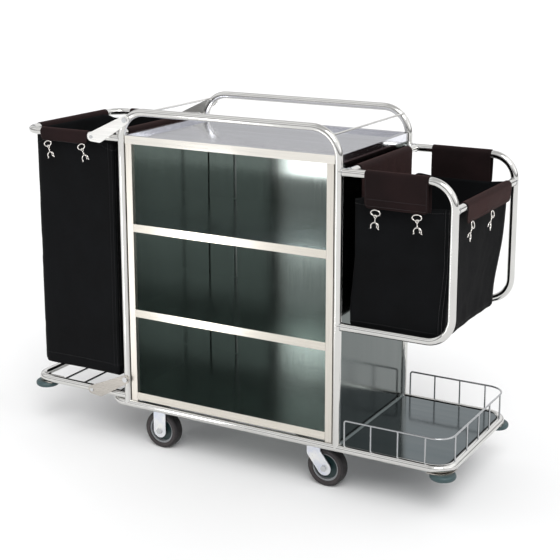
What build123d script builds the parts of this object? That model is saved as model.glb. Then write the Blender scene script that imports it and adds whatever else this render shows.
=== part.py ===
from build123d import *
import os
from math import cos, radians, sin

# Housekeeping and linen trolley: a stainless open cabinet on a tube base, with a hinged bag
# holder on its left, a fixed bag holder over a low platform on its right, and four casters.
# Millimetres. +X runs along the trolley to the platform, +Y to the back, +Z up.
# The origin is on the floor under the middle of the whole trolley.

# Driving dimensions
TUBE_D = 22.0            # main stainless tube
TUBE_WALL = 1.2
SHEET = 1.2              # cabinet and deck sheet
POST_SPAN = 696.0        # left post to right post, centre to centre
DEPTH = 448.0            # front tubes to back tubes, centre to centre
BASE_Z = 139.0           # centre line of the base loop
GUARD_RISE = 880.0       # base loop to guard rail, centre to centre
LEFT_POST = -336.5       # sets the trolley over its origin
BASE_OVERHANG = 66.0     # base loop past the left posts
PLATFORM_REACH = 325.0   # base loop past the right posts
HOLDER_REACH = 350.0     # bag hoop past the left posts
TRAY_REACH = 345.0       # foot tray past the left posts
HOOP_Z = 939.0           # bag hoop
TRAY_Z = 162.0           # foot tray
D_LOOP_REACH = 324.0     # right bag frame past the right posts
D_LOOP_TOP = 907.0
D_LOOP_BOTTOM = 487.0
SHELF_PITCH = 257.0      # shelf surface to shelf surface
FLOOR_Z = 178.0          # bottom shelf surface
STRIP_H = 23.0           # folded front of each shelf and of the deck
WHEEL_R = 57.0
WHEEL_W = 36.0

# Derived positions
TUBE_R = TUBE_D / 2
FRONT = -DEPTH / 2
BACK = DEPTH / 2
RIGHT_POST = LEFT_POST + POST_SPAN
MIDDLE = (LEFT_POST + RIGHT_POST) / 2
GUARD_Z = BASE_Z + GUARD_RISE
GUARD_BEND = 79.0
BASE_LEFT = LEFT_POST - BASE_OVERHANG
BASE_RIGHT = RIGHT_POST + PLATFORM_REACH
BASE_TOP = BASE_Z + TUBE_R
BASE_UNDER = BASE_Z - TUBE_R
BASE_CORNER = 52.0
HOOP_LEFT = LEFT_POST - HOLDER_REACH
TRAY_LEFT = LEFT_POST - TRAY_REACH
HOOP_CORNER = 45.0
TRAY_CORNER = 40.0
D_RIGHT = RIGHT_POST + D_LOOP_REACH
D_BEND = 68.0
DECK_TOP = FLOOR_Z + 3 * SHELF_PITCH

# Clearances
BODY_GAP = 0.4           # between pieces that move past each other
RUN_FIT = 0.05           # radial, shaft in its hole

# Cabinet
PANEL_T = 14.0           # hollow side panel
PANEL_PROUD = 2.0        # panel skin outside the post centre line
PANEL_END = 12.0         # panels stop this far from the front and back tube centres
PANEL_INNER = POST_SPAN / 2 + PANEL_PROUD - PANEL_T    # from the cabinet's middle plane
STILE_W = 20.5
STILE_D = 13.5
FACE_PROUD = 2.0         # cabinet face in front of the tube centre line
BACK_PANEL_INSET = 7.0
RIM_W = 16.0             # deck rim
DECK_RECESS = 9.0

# Wire gallery round the platform
GALLERY_Z = BASE_TOP + 72.0
GALLERY_START = RIGHT_POST + 24.0
GALLERY_WIRE = 2.6

# Bag frames
INNER_BAR_X = LEFT_POST - 27.0
INNER_BAR_Z = HOOP_Z + 8.0
RIGHT_INNER_BAR_X = RIGHT_POST + 25.0
OUTER_BAR_Z = 836.0

# Bags
FABRIC = 2.5
BAG_CUT = 12.0               # corner cut of a bag where no bent tube needs more
BAG_GAP = TUBE_R + BODY_GAP
LEFT_BAG_BOTTOM = 211.0
RIGHT_BAG_BOTTOM = 489.0
RIGHT_BAG_RIM = 830.0
LEFT_CUFF_X = (LEFT_POST - 288, LEFT_POST - 116)
RIGHT_CUFF_X = (RIGHT_POST + 78, RIGHT_POST + 256)
SIDE_CUFF_Y = (-165.0, 165.0)
RIGHT_FLAP_DROP = 86.0
END_FLAP_DROP = 44.0
LEFT_FLAP_DROP = 25.0

# Snap hooks
HOOK_RING_R = 10.0
HOOK_WIRE_R = 1.5
HOOK_BARREL_L = 14.0
HOOK_BARREL_R = 2.0
HOOK_OUT = BAG_GAP + HOOK_BARREL_R + 0.2    # rail centre to hook, clear of the rail as the bag lifts
LEFT_HOOK_XS = (LEFT_POST - 262, LEFT_POST - 139)
LEFT_HOOK_YS = (-70.0, 70.0)
RIGHT_HOOK_XS = (RIGHT_POST + 113, RIGHT_POST + 227)
RIGHT_HOOK_YS = (-125.0, 20.0)

# Hinge of the left holder
HOOP_PIVOT = (LEFT_POST + GUARD_BEND * (1 - cos(radians(45))),
              GUARD_Z - GUARD_BEND * (1 - sin(radians(45))))
TRAY_PIVOT = (LEFT_POST, 215.0)
PIVOT_R = 4.0
PLATE_T = 3.0
PLATE_INNER = TUBE_R + 0.5   # plate face, from the tube's centre plane

# Casters
RIGID_X = LEFT_POST + 92.0
SWIVEL_X = LEFT_POST + 612.0
TRAIL = 33.0
CASTER_INSET = 50.0          # wheel plane, from the base tube's centre
CASTER_YS = (FRONT + CASTER_INSET, BACK - CASTER_INSET)
CASTER_PLATE = (96.0, 76.0, 3.0)
CASTER_BOLT_SPACING = (76.0, 56.0)
CASTER_BOLT_R = 4.0
CHANNEL_W = 100.0
PLATE_Z = BASE_UNDER - CASTER_PLATE[2]
FORK_T = 3.0
FORK_GAP = 21.0              # fork leg's inner face, from the wheel plane
FORK_END_R = 21.0
CROWN_TOP = PLATE_Z - 5.7
KINGPIN_R = 6.0
AXLE_R = 5.0
RIM_R = 41.0

# Buffers
BUFFER_R = 36.0
BUFFER_H = 17.0
BUFFER_INSET = 20.0          # buffer centre, inside the corner of its frame


def place(shape, x=0.0, y=0.0, z=0.0):
    return Pos(x, y, z) * shape


def block(x, y, z):
    """Box from three (low, high) pairs."""
    size = (x[1] - x[0], y[1] - y[0], z[1] - z[0])
    return Pos(sum(x) / 2, sum(y) / 2, sum(z) / 2) * Box(*size)


def rod(start, end, radius):
    """Solid round bar between two points."""
    return sweep(Plane(origin=start, z_dir=Vector(*end) - Vector(*start)) * Circle(radius),
                 path=Line(start, end))


def bar_y(x, z, radius, y0, y1):
    """Solid round bar along Y."""
    return rod((x, y0, z), (x, y1, z), radius)


def bar_z(x, y, radius, z0, z1):
    """Solid round bar along Z."""
    return place(Cylinder(radius, z1 - z0), x, y, (z0 + z1) / 2)


def prism(plan, z0, z1):
    """A flat outline raised from z0 to z1."""
    return place(extrude(plan, amount=z1 - z0), z=z0)


def hexagon(x, y, radius, z0, z1):
    return place(extrude(RegularPolygon(radius, 6), amount=z1 - z0), x, y, z0)


def pipe(path, radius=TUBE_R, wall=TUBE_WALL):
    """Tube along a path."""
    plane = Plane(origin=path @ 0, z_dir=path % 0)
    return sweep(plane * Circle(radius), path=path) - sweep(plane * Circle(radius - wall), path=path)


def solid_pipe(path, radius=TUBE_R):
    """The tube's outside, filled: what a neighbour is cut back to."""
    return sweep(Plane(origin=path @ 0, z_dir=path % 0) * Circle(radius), path=path)


def both_sides(make):
    """The same piece at the front and at the back."""
    return [make(FRONT, -1), make(BACK, 1)]


def group(pieces):
    return Compound(children=[solid for piece in pieces for solid in piece.solids()])


# Tube frame

def base_path():
    outline = RectangleRounded(BASE_RIGHT - BASE_LEFT, DEPTH, BASE_CORNER)
    return (Pos((BASE_LEFT + BASE_RIGHT) / 2, 0, BASE_Z) * outline).wire()


def guard_path(y):
    return FilletPolyline((LEFT_POST, y, BASE_Z), (LEFT_POST, y, GUARD_Z),
                          (RIGHT_POST, y, GUARD_Z), (RIGHT_POST, y, BASE_Z), radius=GUARD_BEND)


def d_path(y):
    return FilletPolyline((RIGHT_POST, y, D_LOOP_TOP), (D_RIGHT, y, D_LOOP_TOP),
                          (D_RIGHT, y, D_LOOP_BOTTOM), (RIGHT_POST, y, D_LOOP_BOTTOM), radius=D_BEND)


def guard_hoop(y):
    """Posts and guard rail in one bent tube, its feet shaped to sit on the base loop."""
    hoop = pipe(guard_path(y)) - solid_pipe(base_path())
    return hoop - pivot_bolt_at(HOOP_PIVOT, y) - pivot_bolt_at(TRAY_PIVOT, y)


def d_loop(y):
    post = rod((RIGHT_POST, y, BASE_Z), (RIGHT_POST, y, GUARD_Z - GUARD_BEND), TUBE_R)
    return pipe(d_path(y)) - post


def cross_bar(x, z, radius, wall, neighbours):
    """Tube from the front tubes to the back ones, its ends shaped to fit them."""
    bar = pipe(Line((x, FRONT, z), (x, BACK, z)), radius, wall)
    for neighbour in neighbours:
        bar = bar - neighbour
    return bar


def base_cross_tubes():
    loop = solid_pipe(base_path())
    tubes = []
    for x in (LEFT_POST, RIGHT_POST):
        posts = [bar_z(x, y, TUBE_R, BASE_Z, BASE_TOP + 10) for y in (FRONT, BACK)]
        tubes.append(cross_bar(x, BASE_Z, TUBE_R, TUBE_WALL, [loop] + posts))
    return group(tubes)


def guard_cross_rods():
    """A thin rod is welded across the outside of the guard hoops' bends at each end."""
    reach = (GUARD_BEND + TUBE_R - 1) * sin(radians(45))
    height = GUARD_Z - GUARD_BEND + reach
    hoops = [solid_pipe(guard_path(y)) for y in (FRONT, BACK)]
    rods = []
    for x in (LEFT_POST + GUARD_BEND - reach, RIGHT_POST - GUARD_BEND + reach):
        rods.append(bar_y(x, height, 3.0, FRONT, BACK) - hoops[0] - hoops[1])
    return group(rods)


def caster_channels():
    """Pressed channels across the base, one over each pair of casters."""
    depth = DEPTH / 2 - 2.0
    loop = solid_pipe(base_path())
    channels = []
    for x in (RIGID_X, SWIVEL_X):
        half = CHANNEL_W / 2
        outside = block((x - half, x + half), (-depth, depth), (BASE_UNDER, BASE_TOP - 2))
        inside = block((x - half + 2, x + half - 2), (-depth, depth), (BASE_UNDER + 2, BASE_TOP))
        channel = outside - inside - loop
        for y in CASTER_YS:
            channel = channel - group(caster_bolts(x, y))
            channel = channel - bar_z(x, y, KINGPIN_R + 8, BASE_UNDER - 5, BASE_UNDER + 5)
        channels.append(channel)
    return group(channels)


# Cabinet

def side_panel(x0):
    """Hollow folded panel between a front and a back post."""
    outside = block((x0, x0 + PANEL_T), (FRONT + PANEL_END, BACK - PANEL_END),
                    (BASE_TOP, DECK_TOP - STRIP_H))
    inside = block((x0 + SHEET, x0 + PANEL_T - SHEET),
                   (FRONT + PANEL_END + SHEET, BACK - PANEL_END - SHEET),
                   (BASE_TOP + SHEET, DECK_TOP - STRIP_H - SHEET))
    return outside - inside


def stile(side):
    """Upright strip of the face frame, beside a front post."""
    outer_x = PANEL_INNER - 2.0
    xs = sorted((MIDDLE + side * outer_x, MIDDLE + side * (outer_x - STILE_W)))
    ys = (FRONT - FACE_PROUD, FRONT - FACE_PROUD + STILE_D)
    zs = (BASE_TOP + 0.2, DECK_TOP - STRIP_H)
    hollow = block((xs[0] + SHEET, xs[1] - SHEET), (ys[0] + SHEET, ys[1] - SHEET), zs)
    return block(xs, ys, zs) - hollow


def back_panel():
    """Sheet across the back with its two edges folded inwards."""
    half = POST_SPAN / 2 - PANEL_END
    y0 = BACK - BACK_PANEL_INSET
    zs = (BASE_TOP + 0.2, DECK_TOP - STRIP_H)
    sheet = block((MIDDLE - half, MIDDLE + half), (y0, y0 + SHEET), zs)
    for side in (-1, 1):
        xs = sorted((MIDDLE + side * half, MIDDLE + side * (half - SHEET)))
        sheet = sheet + block(xs, (y0, y0 + 10), zs)
    return sheet


def shelf(top):
    """Shelf with its front edge folded down and back under."""
    half = PANEL_INNER - 0.3
    strip_half = PANEL_INNER - 2.0 - STILE_W - 0.5
    face = FRONT - FACE_PROUD
    sheet = block((MIDDLE - half, MIDDLE + half), (FRONT + PANEL_END, BACK - BACK_PANEL_INSET - 0.3),
                  (top - SHEET, top))
    lip = block((MIDDLE - strip_half, MIDDLE + strip_half), (face, FRONT + PANEL_END),
                (top - SHEET, top))
    fold = block((MIDDLE - strip_half, MIDDLE + strip_half), (face, face + SHEET),
                 (top - STRIP_H, top))
    under = block((MIDDLE - strip_half, MIDDLE + strip_half), (face, face + STILE_D),
                  (top - STRIP_H, top - STRIP_H + SHEET))
    return sheet + lip + fold + under


def deck_plan(margin):
    """Rectangle notched round the four posts, shrunk by a margin."""
    long_way = Rectangle(POST_SPAN + 2 * (PANEL_PROUD - margin), DEPTH - 2 * (PANEL_END + margin))
    deep_way = Rectangle(POST_SPAN - 2 * (PANEL_END + margin), DEPTH + 2 * (FACE_PROUD - margin))
    return Pos(MIDDLE, 0) * (long_way + deep_way)


def top_deck():
    """Top tray: a raised rim round a recessed sheet, open below."""
    low = DECK_TOP - STRIP_H
    recess = Pos(MIDDLE, 0) * Rectangle(POST_SPAN + 2 * (PANEL_PROUD - RIM_W),
                                        DEPTH - 2 * (RIM_W - FACE_PROUD))
    rim_inner = offset(recess, amount=SHEET, kind=Kind.INTERSECTION)
    deck = prism(deck_plan(0), low, DECK_TOP)
    deck = deck - prism(recess, DECK_TOP - DECK_RECESS, DECK_TOP)
    deck = deck - prism(recess, low, DECK_TOP - DECK_RECESS - SHEET)
    return deck - prism(deck_plan(SHEET) - rim_inner, low, DECK_TOP - SHEET)


# Platform

def platform_pan():
    """Low pan inside the right end of the base loop, its edges turned down."""
    x0 = RIGHT_POST + TUBE_R + 1
    x1 = BASE_RIGHT - TUBE_R - 1
    half = DEPTH / 2 - TUBE_R - 1
    top = BASE_TOP - 4
    turn_down = 14.0
    corner = BASE_CORNER - TUBE_R - 1

    def plan(margin):
        sheet = Rectangle(x1 - x0 - 2 * margin, 2 * (half - margin))
        outer = [v for v in sheet.vertices() if v.X > 0]
        return Pos((x0 + x1) / 2, 0) * fillet(outer, corner - margin)

    return prism(plan(0), top - turn_down, top) - prism(plan(SHEET), top - turn_down, top - SHEET)


def gallery_path():
    start, end = GALLERY_START, BASE_RIGHT
    return FilletPolyline((start, FRONT, BASE_Z), (start, FRONT, GALLERY_Z), (end, FRONT, GALLERY_Z),
                          (end, BACK, GALLERY_Z), (start, BACK, GALLERY_Z), (start, BACK, BASE_Z),
                          radius=[7, BASE_CORNER, BASE_CORNER, 7])


def gallery_rail():
    """Wire rail round three sides of the platform, its ends welded to the base loop."""
    return solid_pipe(gallery_path(), GALLERY_WIRE) - solid_pipe(base_path())


def gallery_posts():
    """Short wires between the base loop and the gallery rail."""
    pitch_x, pitch_y = 79.0, 86.0
    spots = [(GALLERY_START + pitch_x * i, y) for i in (1, 2, 3) for y in (FRONT, BACK)]
    spots += [(BASE_RIGHT, pitch_y * j) for j in (-2, -1, 0, 1, 2)]
    rail = solid_pipe(gallery_path(), GALLERY_WIRE)
    loop = solid_pipe(base_path())
    return group([bar_z(x, y, 2.4, BASE_Z, GALLERY_Z) - rail - loop for x, y in spots])


# Buffers under the frame corners

def corner_plate(x, y, top, toward_x, toward_y):
    """Gusset under a frame corner, rounded to follow it."""
    reach = 62.0
    square = Rectangle(reach, reach)
    corner = [v for v in square.vertices() if v.X * toward_x > 0 and v.Y * toward_y > 0]
    plan = fillet(corner, 42.0)
    centre_x = x + toward_x * (BUFFER_INSET + 6 - reach / 2)
    centre_y = y + toward_y * (BUFFER_INSET + 6 - reach / 2)
    plate = place(prism(plan, top - PLATE_T, top), centre_x, centre_y)
    return plate - bar_z(x, y, 4.0, top - 10, top + 10)


def buffer_ring(x, y, top):
    """Flat rubber ring with rounded edges."""
    section = Plane.XZ * Pos(BUFFER_R / 2 + 2, -BUFFER_H / 2) * Rectangle(BUFFER_R - 4, BUFFER_H)
    outer = [v for v in section.vertices() if v.X > BUFFER_R / 2]
    ring = revolve(fillet(outer, 7.5), Axis.Z)
    washer_seat = bar_z(0, 0, 15.0, -BUFFER_H, -BUFFER_H + 3)
    return place(ring - washer_seat, x, y, top)


def buffer_bolt(x, y, plate_top):
    """Round-headed bolt up through the buffer into the threaded corner plate."""
    head_z = plate_top - PLATE_T - BUFFER_H
    head = bar_z(x, y, 14.0, head_z - 0.5, head_z + 3)
    return head + bar_z(x, y, 4.0, head_z + 3, plate_top)


def buffer_spots(x):
    """(x, y, side) of the front and the back buffer of one frame."""
    return [(x, side * (DEPTH / 2 - BUFFER_INSET), side) for side in (-1, 1)]


BASE_BUFFERS = buffer_spots(BASE_RIGHT - BUFFER_INSET)
TRAY_BUFFERS = buffer_spots(TRAY_LEFT + BUFFER_INSET)


# Left holder: hoop, tray and their hinge plates

def hoop_path():
    return FilletPolyline((LEFT_POST, FRONT, HOOP_Z), (HOOP_LEFT, FRONT, HOOP_Z),
                          (HOOP_LEFT, BACK, HOOP_Z), (LEFT_POST, BACK, HOOP_Z), radius=HOOP_CORNER)


def tray_path():
    return FilletPolyline((LEFT_POST, FRONT, TRAY_Z), (TRAY_LEFT, FRONT, TRAY_Z),
                          (TRAY_LEFT, BACK, TRAY_Z), (LEFT_POST, BACK, TRAY_Z), radius=TRAY_CORNER)


def holder_tube(path, height, rivet_spots):
    """U tube whose tails butt against the left posts, which are its stop."""
    tube = pipe(path)
    for y in (FRONT, BACK):
        tube = tube - bar_z(LEFT_POST, y, TUBE_R + BODY_GAP, height - 30, height + 30)
    return tube - group([plate_rivet(spot, y, side) for spot in rivet_spots
                         for y, side in ((FRONT, -1), (BACK, 1))])


def plate_outline(ends, radius):
    """Rounded triangle about three points in the XZ plane."""
    discs = [Pos(x, z) * Circle(radius) for x, z in ends]
    return make_hull([edge for disc in discs for edge in disc.edges()])


HOOP_PLATE_ENDS = [(LEFT_POST - 98, HOOP_Z - 1), (LEFT_POST - 70, HOOP_Z - 3), HOOP_PIVOT]
TRAY_PLATE_ENDS = [(LEFT_POST - 126, TRAY_Z - 1), (LEFT_POST - 94, TRAY_Z - 4), TRAY_PIVOT]


def hinge_plate(ends, y, side):
    """Boomerang plate outside the tubes, on a pivot bolt through the post."""
    flat = extrude(plate_outline(ends, 13.0), amount=PLATE_T)
    stand = Rot(90, 0, 0) * flat
    outer = y + side * (PLATE_INNER + PLATE_T)
    plate = place(stand, y=outer + PLATE_T if side < 0 else outer)
    hole = bar_y(ends[2][0], ends[2][1], PIVOT_R + RUN_FIT, y - 40, y + 40)
    return plate - hole - plate_rivet(ends[0], y, side)


def plate_rivet(spot, y, side):
    """Domed rivet through a hinge plate and the near wall of its tube."""
    near = y + side * (TUBE_R - 3)
    face = y + side * (PLATE_INNER + PLATE_T)
    shank = bar_y(spot[0], spot[1], 3.0, min(near, face), max(near, face))
    head = bar_y(spot[0], spot[1], 5.5, min(face, face + side * 2), max(face, face + side * 2))
    return shank + head


def pivot_bolt_at(pivot, y):
    """Round-headed bolt through a hinge plate, threaded into both walls of the tube."""
    x, z = pivot
    side = -1 if y < 0 else 1
    outer = y + side * (PLATE_INNER + PLATE_T + BODY_GAP)
    inner = y - side * TUBE_R
    shank = bar_y(x, z, PIVOT_R, min(outer, inner), max(outer, inner))
    return shank + bar_y(x, z, 8.0, min(outer, outer + side * 4), max(outer, outer + side * 4))


def tray_wires():
    """Cross wires that carry the bottom of the bag."""
    tube = solid_pipe(tray_path())
    xs = [LEFT_POST - 35 - 73 * i for i in range(4)]
    return group([bar_y(x, TRAY_Z, 3.0, FRONT, BACK) - tube for x in xs])


# Casters. Each is built about its own wheel plane, then placed.

def caster_bolts(x, y):
    dx, dy = CASTER_BOLT_SPACING[0] / 2, CASTER_BOLT_SPACING[1] / 2
    bolts = []
    for cx in (x - dx, x + dx):
        for cy in (y - dy, y + dy):
            head = hexagon(cx, cy, 6.5, PLATE_Z - 5, PLATE_Z)
            shank = bar_z(cx, cy, CASTER_BOLT_R, PLATE_Z, BASE_UNDER + 9)
            nut = hexagon(cx, cy, 6.5, BASE_UNDER + 2, BASE_UNDER + 8)
            bolts.append(head + shank + nut)
    return bolts


def mounting_plate(x, y):
    plate = block((x - CASTER_PLATE[0] / 2, x + CASTER_PLATE[0] / 2),
                  (y - CASTER_PLATE[1] / 2, y + CASTER_PLATE[1] / 2), (PLATE_Z, BASE_UNDER))
    plate = fillet(plate.edges().filter_by(Axis.Z), 8)
    return plate - group(caster_bolts(x, y))


def fork_legs(top_x, axle_x, y, top):
    """Two legs from the crown to the axle, raked when the axle trails."""
    ends = [(top_x, top - FORK_END_R), (axle_x, WHEEL_R)]
    outline = make_hull([edge for x, z in ends for edge in (Pos(x, z) * Circle(FORK_END_R)).edges()])
    legs = []
    for side in (-1, 1):
        leg = Rot(90, 0, 0) * extrude(outline, amount=FORK_T)
        outer = y + side * (FORK_GAP + FORK_T)
        leg = place(leg, y=outer + FORK_T if side < 0 else outer)
        legs.append(leg)
    return legs[0] + legs[1]


def fork(top_x, axle_x, y, top):
    """Pressed fork: crown and two legs, bored for its axle."""
    half = FORK_GAP + FORK_T
    crown_x = (top_x - FORK_END_R, top_x + FORK_END_R)
    crown = block(crown_x, (y - half, y + half), (top - FORK_T, top))
    legs = fork_legs(top_x, axle_x, y, top)
    below = block((top_x - 80, top_x + 80), (y - half, y + half), (0, top))
    shoulder = block((top_x - FORK_END_R, top_x + FORK_END_R), (y - half, y + half),
                     (top - FORK_END_R, top))
    inside = block((top_x - 80, top_x + 80), (y - FORK_GAP, y + FORK_GAP), (0, top - FORK_T))
    body = (legs & below) + (shoulder - inside) + crown
    return body - bar_y(axle_x, WHEEL_R, AXLE_R, y - 40, y + 40)


def rigid_fork(y):
    return fork(RIGID_X, RIGID_X, y, PLATE_Z)


def swivel_fork(y):
    body = fork(SWIVEL_X, SWIVEL_X + TRAIL, y, CROWN_TOP)
    disc = bar_z(SWIVEL_X, y, 27.0, CROWN_TOP - FORK_T, CROWN_TOP)
    return body + disc - bar_z(SWIVEL_X, y, KINGPIN_R + RUN_FIT, CROWN_TOP - 20, CROWN_TOP + 5)


def swivel_race(y):
    """Ball race cup pressed into the mounting plate's underside."""
    low = CROWN_TOP + BODY_GAP
    cup = bar_z(SWIVEL_X, y, 28.0, low, PLATE_Z)
    return cup - bar_z(SWIVEL_X, y, KINGPIN_R + 4, low - 1, PLATE_Z + 1)


def kingpin(y):
    """Riveted pin that the fork turns on."""
    under = CROWN_TOP - FORK_T - BODY_GAP
    stem = bar_z(SWIVEL_X, y, KINGPIN_R, under, PLATE_Z)
    return stem + bar_z(SWIVEL_X, y, 10.0, under - 3, under)


def axle_bolt(x, y):
    """Axle with a hexagon head in front and a nut behind."""
    outer = FORK_GAP + FORK_T
    shank = bar_y(x, WHEEL_R, AXLE_R, y - outer, y + outer)
    head = place(Rot(90, 0, 0) * extrude(RegularPolygon(9.0, 6), amount=6), x, y - outer, WHEEL_R)
    nut = place(Rot(-90, 0, 0) * extrude(RegularPolygon(9.0, 6), amount=8), x, y + outer, WHEEL_R)
    return shank + head + nut


def wheel_turn(section, x, y):
    """Revolve a section, drawn as (radius, width), about the wheel's own axle line."""
    turned = revolve(Plane.XY * section, Axis.Y)
    return place(turned, x, y, WHEEL_R)


def hub(x, y):
    """Wheel centre: boss, dished web and rim."""
    bore = AXLE_R + RUN_FIT
    half = WHEEL_W / 2
    boss = Pos((bore + 13) / 2, 0) * Rectangle(13 - bore, WHEEL_W + 4)
    web = Pos((12 + RIM_R - 4) / 2, 0) * Rectangle(RIM_R - 16, 8)
    rim = Pos(RIM_R - 2.5, 0) * Rectangle(5, 2 * half - 8)
    return wheel_turn(boss + web + rim, x, y)


def tyre(x, y):
    """Solid tyre with a crowned tread and round shoulders."""
    half = WHEEL_W / 2
    height = WHEEL_R - RIM_R
    block_section = Pos(RIM_R + height / 2, 0) * Rectangle(height, 2 * half)
    shoulders = [v for v in block_section.vertices() if v.X > RIM_R + 1]
    return wheel_turn(fillet(shoulders, 9.0), x, y)


# Bags

def bag_panels(x, y, z, cuts):
    """Open-topped bag sewn from flat panels: base, walls and cut-off corners.
    cuts are the corner cuts towards -X and towards +X."""
    (x0, x1), (y0, y1), (z0, z1) = x, y, z
    left, right = cuts
    outline = Polygon((x0 + left, y0), (x1 - right, y0), (x1, y0 + right), (x1, y1 - right),
                      (x1 - right, y1), (x0 + left, y1), (x0, y1 - left), (x0, y0 + left), align=None)
    inside = offset(outline, amount=-FABRIC, kind=Kind.INTERSECTION)
    walls = prism(outline - inside, z0 + FABRIC, z1)
    cells = [((x0 + left, x1 - right), (y0, 0)), ((x0 + left, x1 - right), (0, y1))]
    for low, high, cut in ((x0, x0 + left, left), (x1 - right, x1, right)):
        for span in ((y0, y0 + cut), (y0 + cut, y1 - cut), (y1 - cut, y1)):
            cells.append(((low, high), span))
    panels = [walls & block(*cell, (z0, z1)) for cell in cells]
    return group([prism(outline, z0, z0 + FABRIC)] + panels)


LEFT_BAG_X = (HOOP_LEFT + BAG_GAP, INNER_BAR_X - BAG_GAP)
RIGHT_BAG_X = (RIGHT_INNER_BAR_X + BAG_GAP, D_RIGHT - BAG_GAP)
BAG_Y = (FRONT + BAG_GAP, BACK - BAG_GAP)


def left_bag():
    return bag_panels(LEFT_BAG_X, BAG_Y, (LEFT_BAG_BOTTOM, HOOP_Z), (HOOP_CORNER - BAG_GAP, BAG_CUT))


def right_bag():
    return bag_panels(RIGHT_BAG_X, BAG_Y, (RIGHT_BAG_BOTTOM, RIGHT_BAG_RIM), (BAG_CUT, BAG_CUT))


def cuff(length, inner_drop, outer_drop):
    """Fabric folded over a rail: along X, rail centre at the origin, outside towards -Y."""
    inner, outer = BAG_GAP, BAG_GAP + FABRIC
    ring = Circle(outer) - Circle(inner)
    section = ring & (Pos(0, outer) * Rectangle(4 * outer, 2 * outer))
    section = section + Pos(-(inner + outer) / 2, -outer_drop / 2) * Rectangle(FABRIC, outer_drop)
    if inner_drop > 0:
        section = section + Pos((inner + outer) / 2, -inner_drop / 2) * Rectangle(FABRIC, inner_drop)
    upright = Plane(origin=(-length / 2, 0, 0), x_dir=(0, 1, 0), z_dir=(1, 0, 0)) * section
    return extrude(upright, amount=length)


def cuff_on_x(x, y, z, side, inner_drop, outer_drop):
    """Cuff on a rail that runs along X. side is -1 at the front and 1 at the back."""
    turn = 0 if side < 0 else 180
    return place(Rot(0, 0, turn) * cuff(x[1] - x[0], inner_drop, outer_drop), sum(x) / 2, y, z)


def cuff_on_y(x, y, z, side, inner_drop, outer_drop):
    """Cuff on a rail that runs along Y. side is -1 for an outside towards -X."""
    turn = -90 if side < 0 else 90
    return place(Rot(0, 0, turn) * cuff(y[1] - y[0], inner_drop, outer_drop), x, sum(y) / 2, z)


def left_bag_cuffs():
    pieces = both_sides(lambda y, side: cuff_on_x(LEFT_CUFF_X, y, HOOP_Z, side, 0, LEFT_FLAP_DROP))
    pieces.append(cuff_on_y(HOOP_LEFT, SIDE_CUFF_Y, HOOP_Z, -1, 0, LEFT_FLAP_DROP))
    pieces.append(cuff_on_y(INNER_BAR_X, SIDE_CUFF_Y, INNER_BAR_Z, 1, INNER_BAR_Z - HOOP_Z, 14.0))
    return group(pieces)


def right_bag_flaps():
    rise = D_LOOP_TOP - RIGHT_BAG_RIM
    pieces = both_sides(lambda y, side: cuff_on_x(RIGHT_CUFF_X, y, D_LOOP_TOP, side, rise,
                                                  RIGHT_FLAP_DROP))
    pieces.append(cuff_on_y(RIGHT_INNER_BAR_X, SIDE_CUFF_Y, D_LOOP_TOP, -1, rise, 14.0))
    pieces.append(cuff_on_y(D_RIGHT, SIDE_CUFF_Y, OUTER_BAR_Z, 1, OUTER_BAR_Z - RIGHT_BAG_RIM,
                            END_FLAP_DROP))
    return group(pieces)


def snap_hook(x, y, top, turn):
    """Swivel snap hook hanging from a flap's hem: ring, barrel and closed hook."""
    ring = Rot(90, 0, 0) * Torus(HOOK_RING_R, HOOK_WIRE_R)
    ring_z = -HOOK_RING_R - HOOK_WIRE_R
    barrel_z = ring_z - HOOK_RING_R - HOOK_BARREL_L / 2
    hook_z = barrel_z - HOOK_BARREL_L / 2 - HOOK_RING_R
    barrel = place(Cylinder(HOOK_BARREL_R, HOOK_BARREL_L), z=barrel_z)
    whole = place(ring, z=ring_z) + barrel + place(ring, z=hook_z)
    return place(Rot(0, 0, turn) * whole, x, y, top)


def left_bag_hooks():
    hooks = []
    for x in LEFT_HOOK_XS:
        for y in (FRONT - HOOK_OUT, BACK + HOOK_OUT):
            hooks.append(snap_hook(x, y, HOOP_Z - LEFT_FLAP_DROP, 0))
    for y in LEFT_HOOK_YS:
        hooks.append(snap_hook(HOOP_LEFT - HOOK_OUT, y, HOOP_Z - LEFT_FLAP_DROP, 90))
    return group(hooks)


def right_bag_hooks():
    hooks = []
    for x in RIGHT_HOOK_XS:
        for y in (FRONT - HOOK_OUT, BACK + HOOK_OUT):
            hooks.append(snap_hook(x, y, D_LOOP_TOP - RIGHT_FLAP_DROP, 0))
    for y in RIGHT_HOOK_YS:
        hooks.append(snap_hook(D_RIGHT + HOOK_OUT, y, OUTER_BAR_Z - END_FLAP_DROP, 90))
    return group(hooks)


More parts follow.
